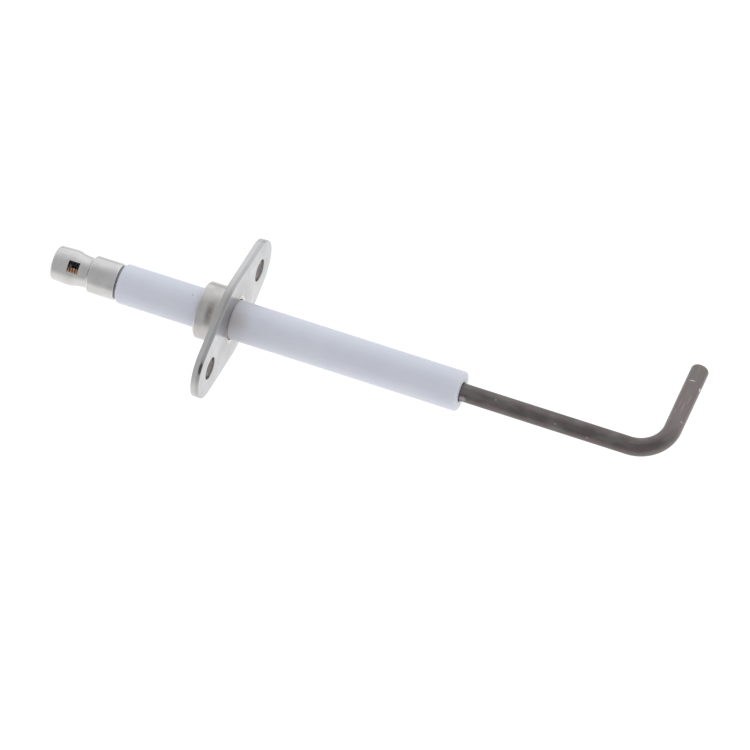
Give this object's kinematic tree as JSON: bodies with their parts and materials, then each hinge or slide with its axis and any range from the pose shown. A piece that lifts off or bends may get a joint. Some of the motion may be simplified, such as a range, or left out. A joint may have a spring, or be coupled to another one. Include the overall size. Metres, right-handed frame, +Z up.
{
  "type": "flame sensor probe",
  "caption": "Flame sensing probe: bent alloy rod in a white ceramic tube, oval screw flange with a turned collar, snap terminal at the rear.",
  "frame": {"origin": "on the probe's axis, in the flange's front (seating) face, midway between the two screw holes", "axes": "+X along the probe towards the flame end, +Y along the line of the screw holes and of the bent tip, +Z up"},
  "size_m": [0.1131, 0.0359, 0.0164],
  "materials": {
    "oxidised_alloy": "drawn wire with a dull brown-grey oxide",
    "alumina": "fired, satin, unglazed",
    "nickel_plate": "nickel plated, as rolled",
    "nickel_turned": "turned and nickel plated",
    "cement": "matt, cast",
    "terminal_nickel": "turned brass, nickel plated outside, bare in the tapped bore",
    "braze": "brazing metal as run, slightly tarnished",
    "washer_steel": "dark, oiled"
  },
  "bodies": {
    "root": {"sensing_rod": "oxidised_alloy", "insulator": "alumina", "flange_plate": "nickel_plate", "collar": "nickel_turned", "collar_cement": "cement", "front_cement": "cement", "rear_cement": "cement", "terminal_washer": "washer_steel", "terminal_cap": "terminal_nickel", "terminal_braze": "braze"}
  },
  "joints": []
}
